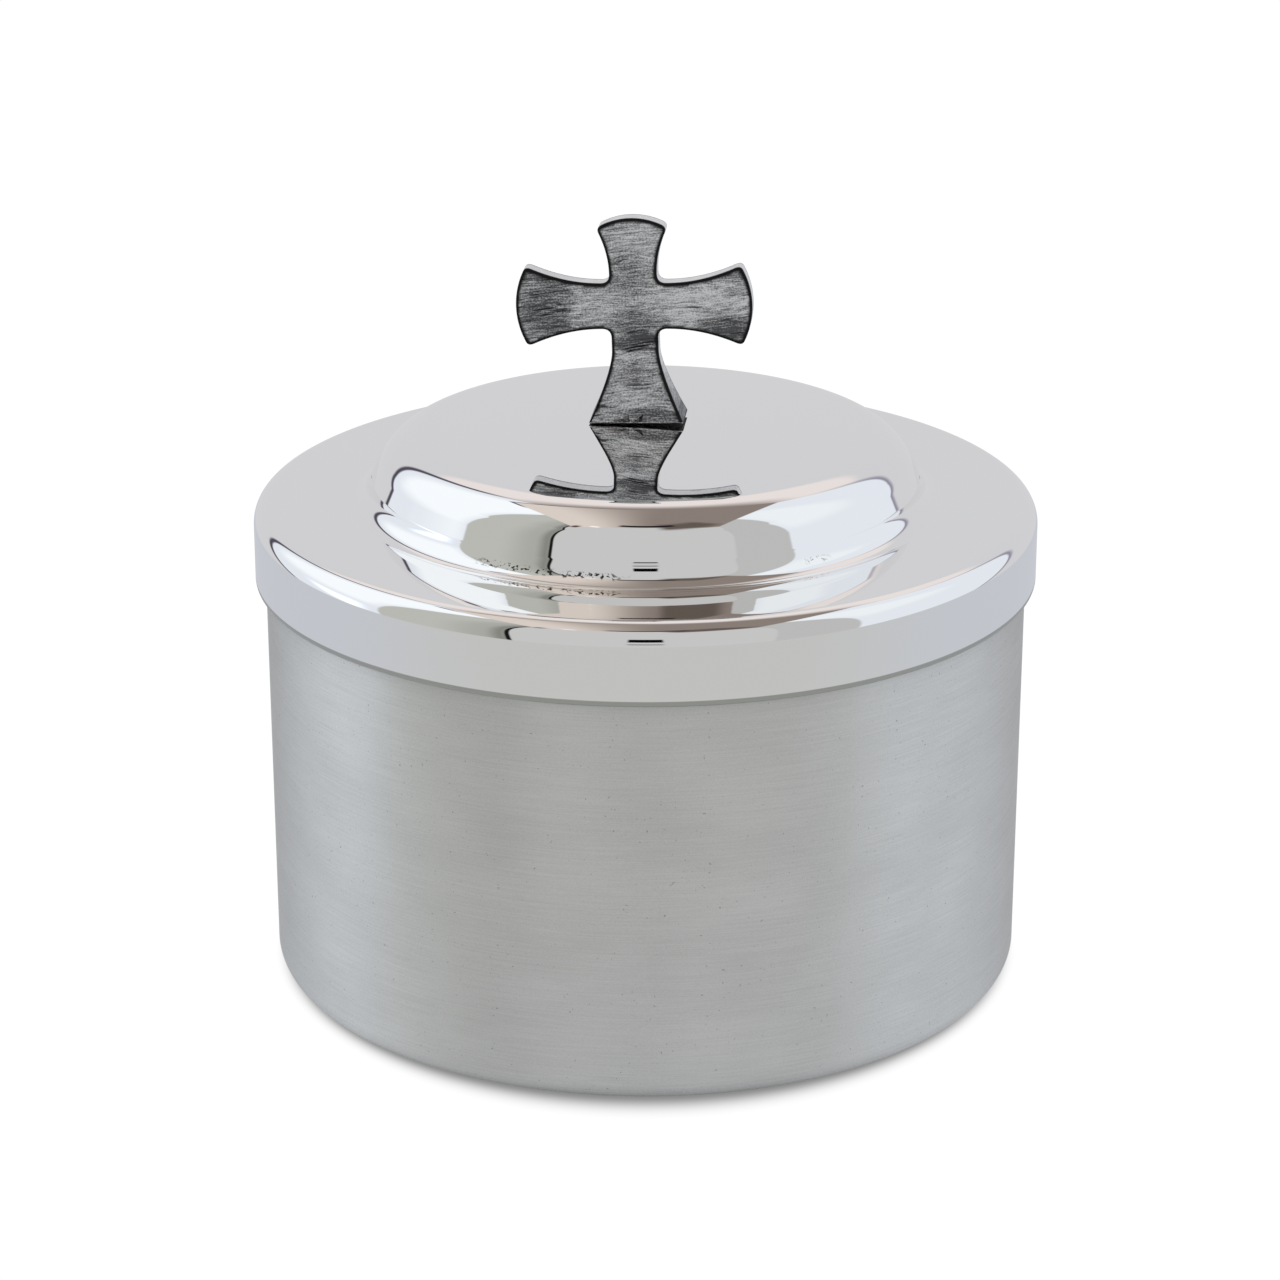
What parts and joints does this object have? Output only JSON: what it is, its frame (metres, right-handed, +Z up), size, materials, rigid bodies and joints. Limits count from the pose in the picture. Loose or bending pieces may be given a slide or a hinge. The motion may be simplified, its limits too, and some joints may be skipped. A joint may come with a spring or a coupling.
{
  "type": "host box",
  "caption": "Round metal box for communion hosts: a drawn satin cup, a polished slip-over lid with a raised dome, and a cross finial as its handle.",
  "frame": {"origin": "centre of the round base, on the surface that the box stands on", "axes": "+Z up along the box's axis, -Y towards the front face of the cross, +X to the right as seen from the front"},
  "size_m": [0.108, 0.108, 0.1062],
  "materials": {
    "satin_cup": "satin, finely brushed round the wall",
    "polished_lid": "mirror polished, with fine spun lines",
    "oxidised_cross": "dark oxidised cast metal, brushed back on its faces, near black at the edges",
    "fastener_steel": "plain bright steel",
    "spring_steel": "dull spring steel"
  },
  "bodies": {
    "cup": {"body_cup": "satin_cup"},
    "lid": {"lid_shell": "polished_lid", "cross_finial": "oxidised_cross", "finial_screw": "fastener_steel", "lock_washer": "spring_steel", "flat_washer": "fastener_steel"}
  },
  "joints": [
    {"name": "lid_lift", "type": "slide", "parent": "cup", "child": "lid", "axis": [0, 0, 1], "range_m": [0, 0.06]}
  ]
}
